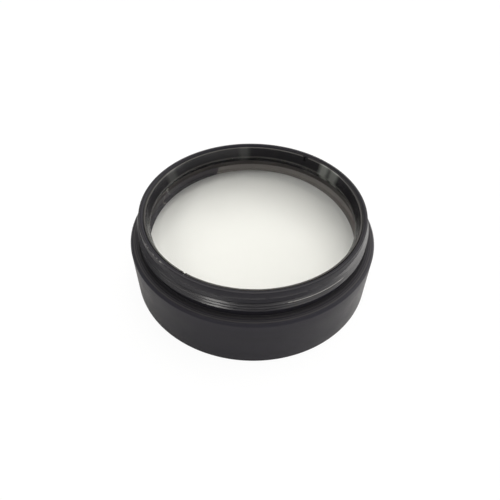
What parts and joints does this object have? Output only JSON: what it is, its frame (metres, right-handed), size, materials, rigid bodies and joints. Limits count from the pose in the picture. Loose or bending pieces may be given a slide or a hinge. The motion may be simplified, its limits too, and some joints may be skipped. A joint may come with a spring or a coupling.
{
  "type": "telescope eyepiece lens cell",
  "caption": "Screw-in lens cell for a telescope eyepiece: a black ring body with a male filter thread holds a cemented doublet under a threaded retaining ring.",
  "frame": {"origin": "centre of the lower face, on the optical axis", "axes": "+Z along the optical axis, out of the screw nose"},
  "size_m": [0.0518, 0.0518, 0.0178],
  "materials": {
    "body_black": "satin black anodised, fine turned",
    "ring_black": "semi-gloss black anodised",
    "slip_black": "satin dark grey anodised",
    "crown_glass": "polished, coated",
    "flint_glass": "polished, coated, edge ground"
  },
  "bodies": {
    "cell": {"cell_body": "body_black", "flint_lens": "flint_glass", "crown_lens": "crown_glass"},
    "slip": {"split_slip_ring": "slip_black"},
    "ring": {"retaining_ring": "ring_black"}
  },
  "joints": [
    {"name": "ring_rise", "type": "slide", "parent": "cell", "child": "slip", "axis": [0, 0, 1], "range_m": [0, 0.00225]},
    {"name": "ring_turn", "type": "hinge", "parent": "slip", "child": "ring", "pos_m": [0, 0, 0.0158], "axis": [0, 0, 1], "range_deg": [0, 1080]}
  ],
  "couplings": [
    {"joint": "ring_rise", "follows": "ring_turn", "m_per_rad": 0.00011935}
  ]
}
